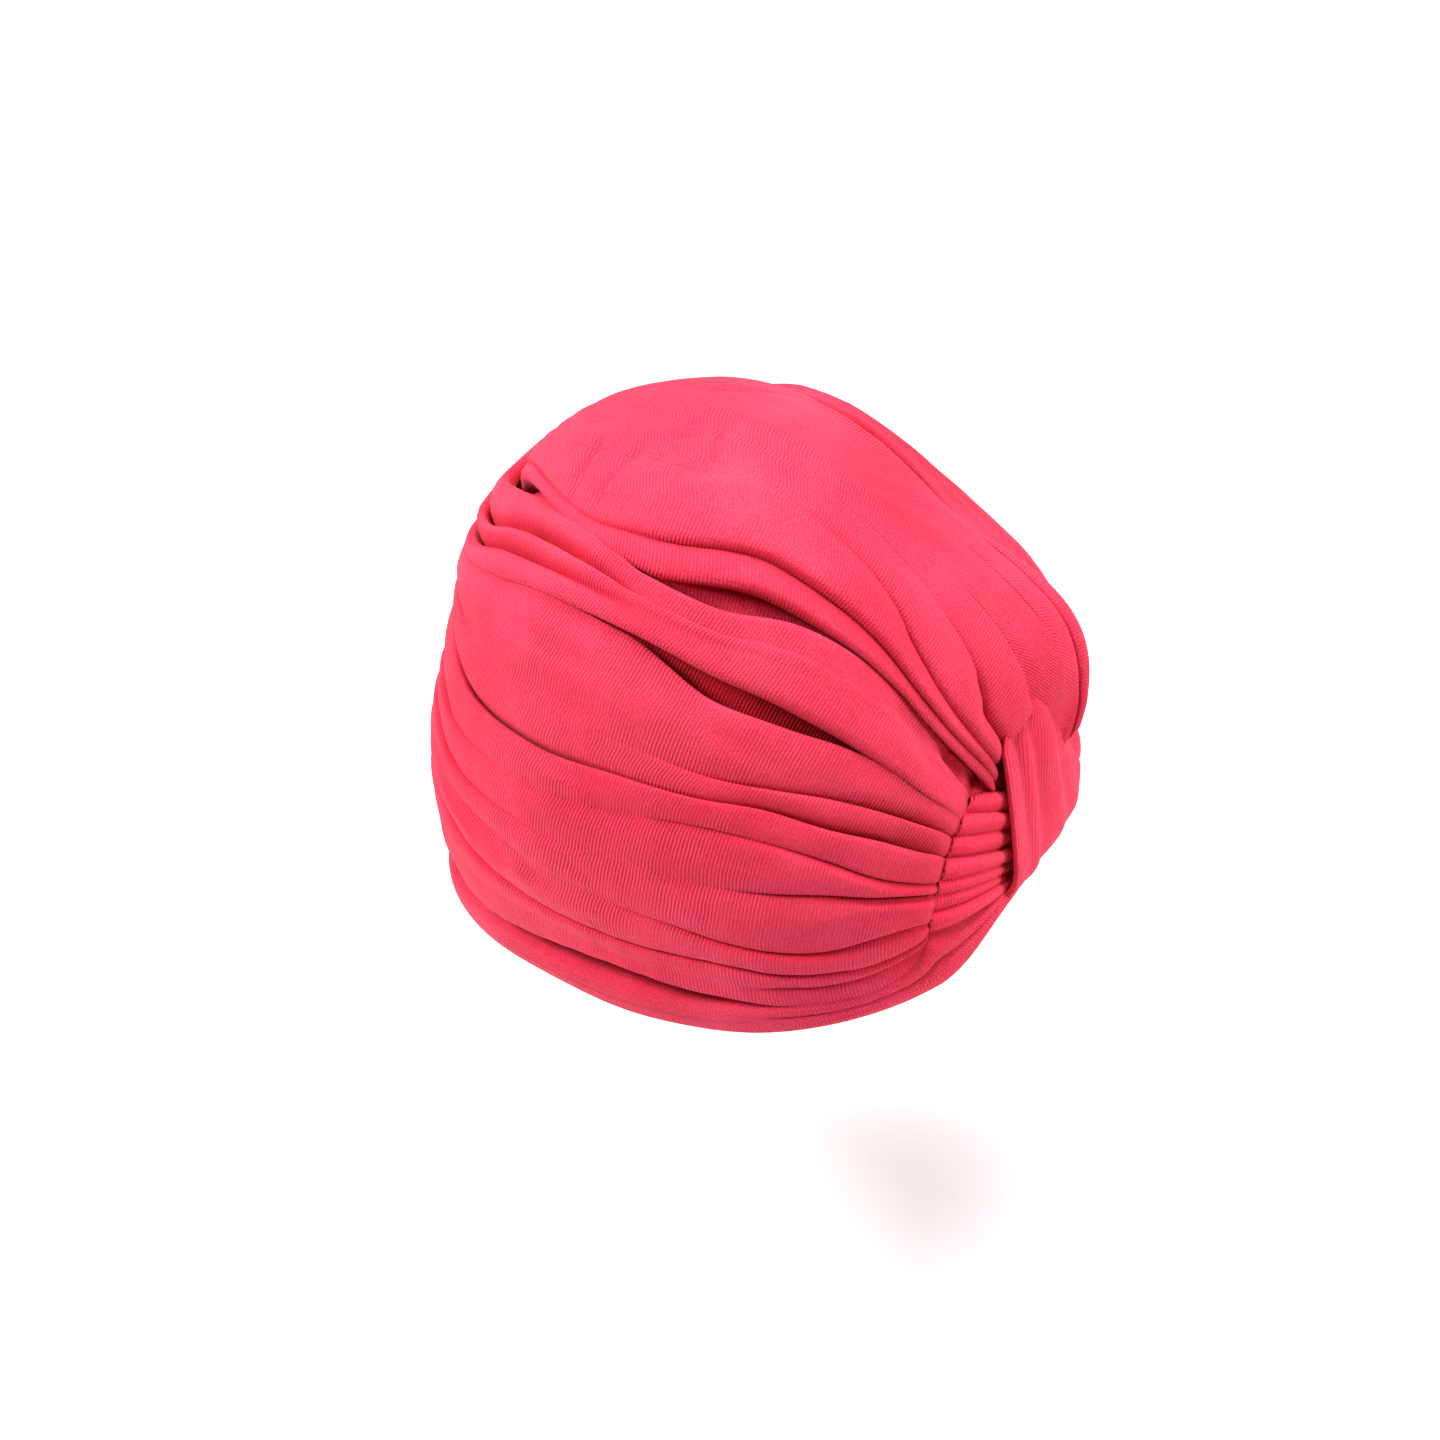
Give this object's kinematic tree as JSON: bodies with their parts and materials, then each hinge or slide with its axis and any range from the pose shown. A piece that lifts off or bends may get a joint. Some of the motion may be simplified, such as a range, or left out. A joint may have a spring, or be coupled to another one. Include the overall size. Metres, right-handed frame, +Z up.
{
  "type": "chemo turban",
  "caption": "Pre-tied stretch-jersey head wrap with a puffed crown, pleated sides gathered to the forehead and a cloth loop over the front.",
  "frame": {"origin": "inside top of the inner cap, where the top of the wearer's head carries it", "axes": "+Z up, -Y the way the wearer looks (the loop is there), -X the wearer's right side"},
  "size_m": [0.1982, 0.228, 0.1937],
  "materials": {
    "inner_jersey": "matte fine-rib jersey, coral red, in shade",
    "crown_jersey": "matte fine-rib jersey, coral red",
    "wrap_jersey": "matte fine-rib jersey, coral red",
    "gather_jersey": "matte fine-rib jersey, coral red, gathered",
    "loop_jersey": "matte fine-rib jersey, coral red, hem stitched"
  },
  "bodies": {
    "root": {"inner_cap": "inner_jersey", "crown_drape": "crown_jersey", "side_wrap": "wrap_jersey", "front_gather": "gather_jersey", "front_loop": "loop_jersey"}
  },
  "joints": []
}
